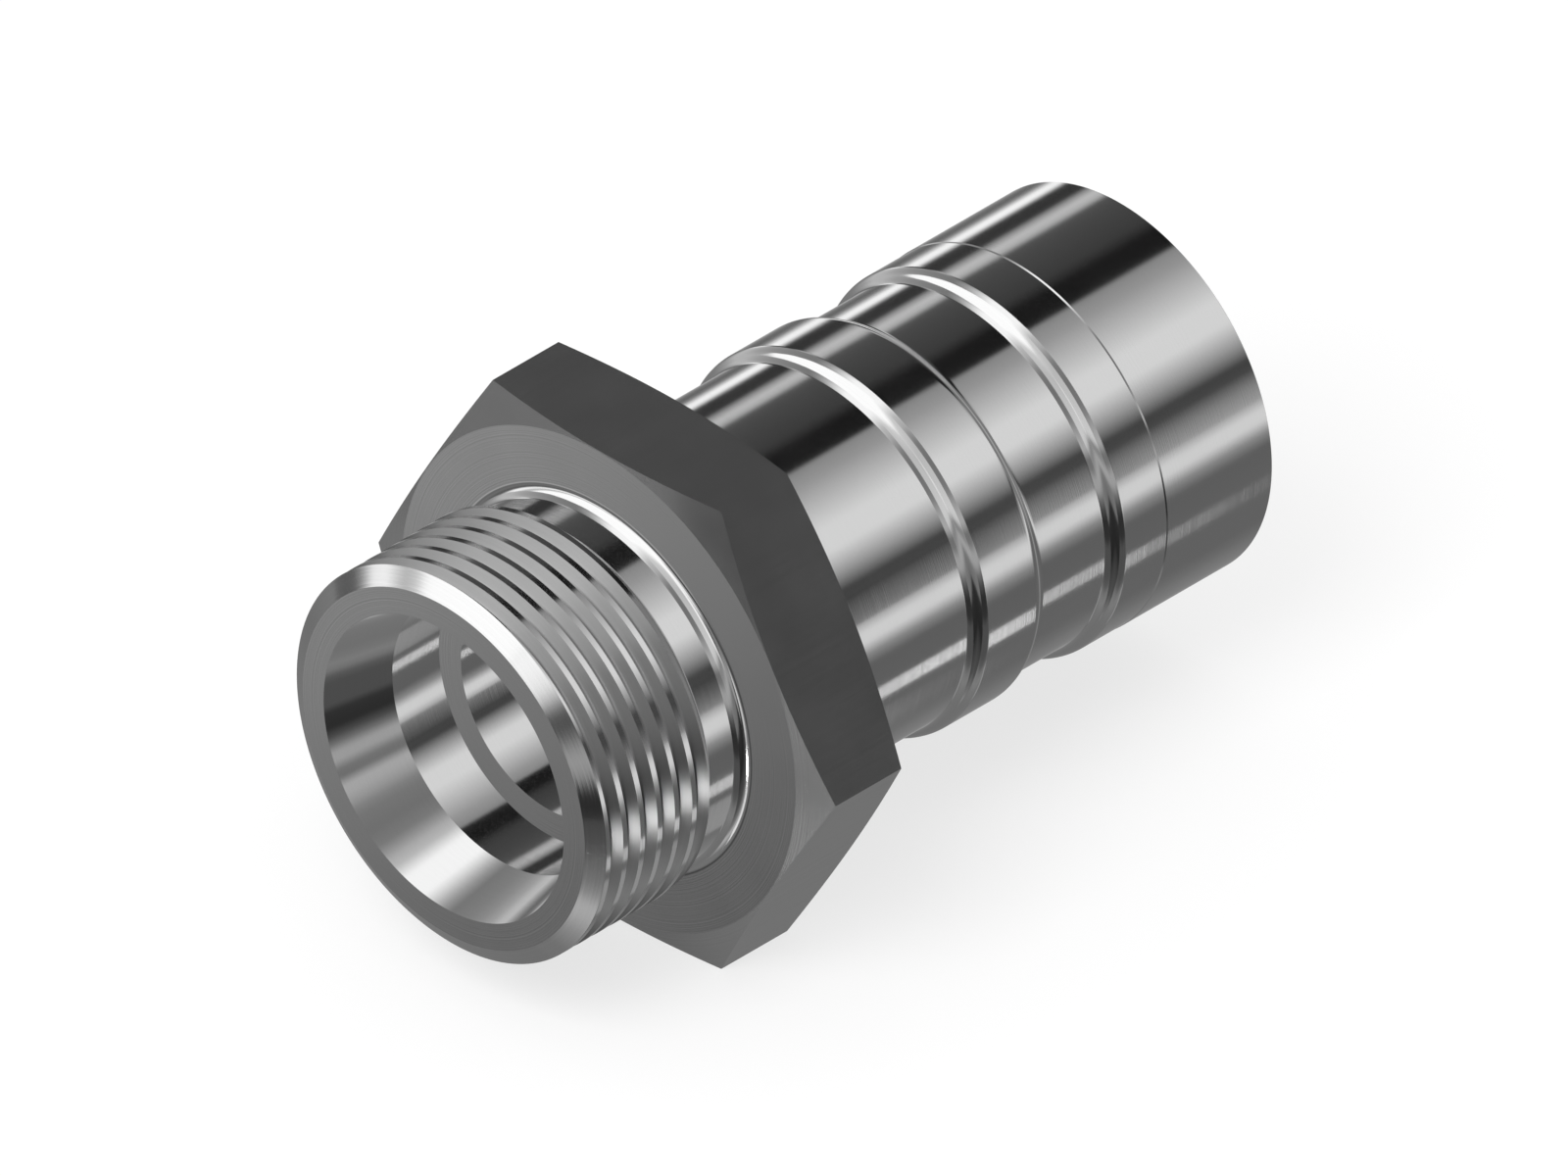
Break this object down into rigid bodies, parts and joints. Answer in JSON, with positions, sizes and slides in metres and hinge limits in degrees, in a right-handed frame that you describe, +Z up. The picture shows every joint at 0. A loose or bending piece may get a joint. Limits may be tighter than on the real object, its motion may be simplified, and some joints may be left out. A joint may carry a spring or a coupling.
{
  "type": "straight tube coupling",
  "caption": "Straight steel coupling: a threaded stud with a coned tube socket and a tube stop, a hexagon, and a beaded hose tail, with a passage through it.",
  "frame": {"origin": "on the coupling's axis, in the plane of the tube stop inside the threaded stud", "axes": "+X along the axis from the stud towards the hose tail's end, +Z up, square to two flats of the hexagon"},
  "size_m": [0.0786, 0.0532, 0.046],
  "materials": {
    "steel": "bright turned steel, with a satin hexagon"
  },
  "bodies": {
    "root": {"coupling_body": "steel"}
  },
  "joints": []
}
